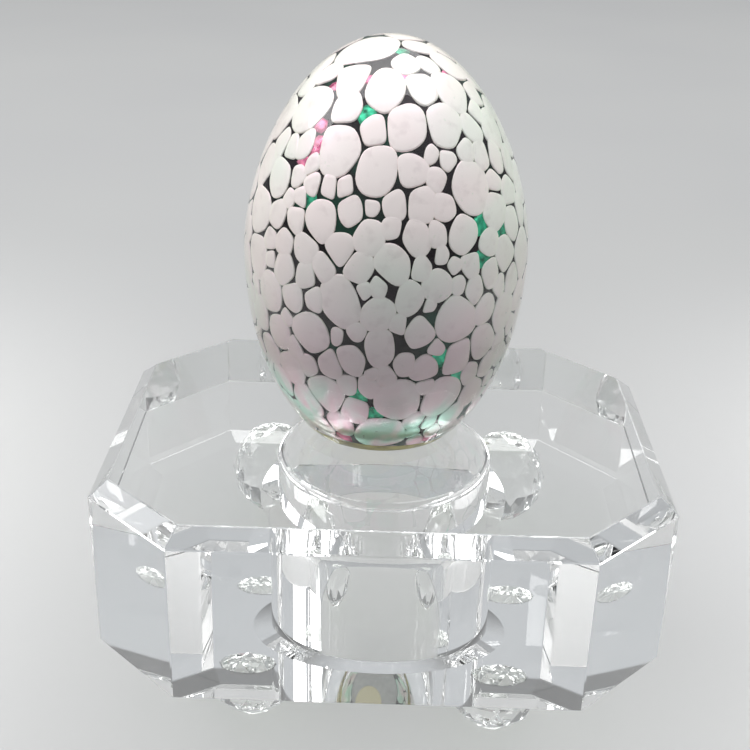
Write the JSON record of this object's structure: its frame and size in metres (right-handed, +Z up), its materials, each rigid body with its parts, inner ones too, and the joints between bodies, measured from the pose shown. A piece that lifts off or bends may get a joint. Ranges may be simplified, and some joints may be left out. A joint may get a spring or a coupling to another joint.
{
  "type": "decorated glass egg on crystal stand",
  "caption": "Cased art-glass egg with opal-white chips over a dark core, standing loose on a bevelled cut-crystal block with a round recess beneath and faceted ball feet.",
  "frame": {"origin": "middle of the block's footprint, on the plane that the four feet stand on", "axes": "+Z up along the egg, +X along the block's long side, +Y towards the back of the block"},
  "size_m": [0.114, 0.09, 0.1346],
  "materials": {
    "crystal": "polished cut crystal, clear",
    "foot_crystal": "polished faceted crystal, clear",
    "cement": "clear cured cement",
    "label_paper": "matt paper, plain",
    "egg_clear": "fire-polished clear glass",
    "egg_dark": "near-black glass with an iridescent skin",
    "egg_white": "opal white glass, faintly pearly",
    "egg_green": "green iridescent foil under glass",
    "egg_pink": "pink iridescent foil under glass",
    "egg_amber": "amber glass"
  },
  "bodies": {
    "stand": {"crystal_block": "crystal", "foot_front_left": "foot_crystal", "foot_front_right": "foot_crystal", "foot_rear_left": "foot_crystal", "foot_rear_right": "foot_crystal", "cement_front_left": "cement", "cement_front_right": "cement", "cement_rear_left": "cement", "cement_rear_right": "cement"},
    "egg": {"egg_casing": "egg_clear", "egg_core": "egg_dark", "egg_white_frit": "egg_white", "egg_green_flakes": "egg_green", "egg_pink_flakes": "egg_pink", "egg_base_rim": "egg_amber", "base_label": "label_paper"}
  },
  "joints": [
    {"name": "egg_lift", "type": "slide", "parent": "stand", "child": "egg", "axis": [0, 0, 1], "range_m": [0, 0.12]}
  ]
}
